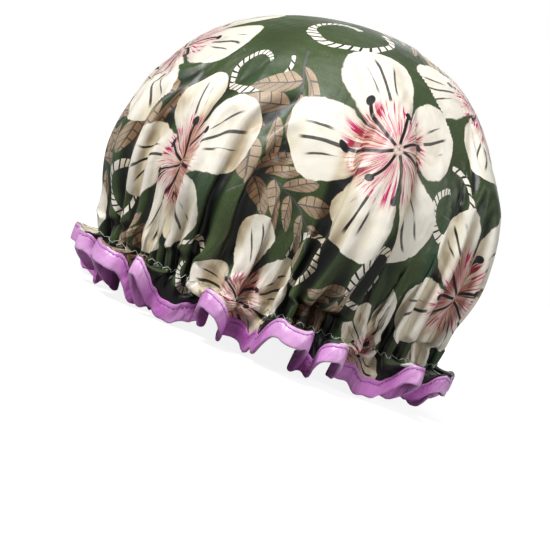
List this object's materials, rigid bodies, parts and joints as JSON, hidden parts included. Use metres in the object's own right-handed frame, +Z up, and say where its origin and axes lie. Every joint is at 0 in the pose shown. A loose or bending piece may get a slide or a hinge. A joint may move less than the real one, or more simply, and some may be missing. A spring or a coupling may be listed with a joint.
{
  "type": "shower cap",
  "caption": "Gathered bouffant shower cap: printed satin crown over a waterproof film lining, drawn in by a sewn elastic band above a short frill with a folded tape edge.",
  "frame": {"origin": "middle of the cap's footprint, on the surface that the frill's lowest folds stand on", "axes": "+Z up through the crown, square to the opening; +X from the forehead to the nape; +Y from one ear to the other, with the pictured side facing -Y"},
  "size_m": [0.2486, 0.2116, 0.1999],
  "materials": {
    "satin": "dark green satin with a large cream floral print",
    "lining_film": "frosted soft film",
    "elastic": "ribbed white knitted elastic",
    "binding_tape": "purple satin tape"
  },
  "bodies": {
    "root": {"satin_shell": "satin", "waterproof_lining": "lining_film", "elastic_band": "elastic", "edge_binding": "binding_tape"}
  },
  "joints": []
}
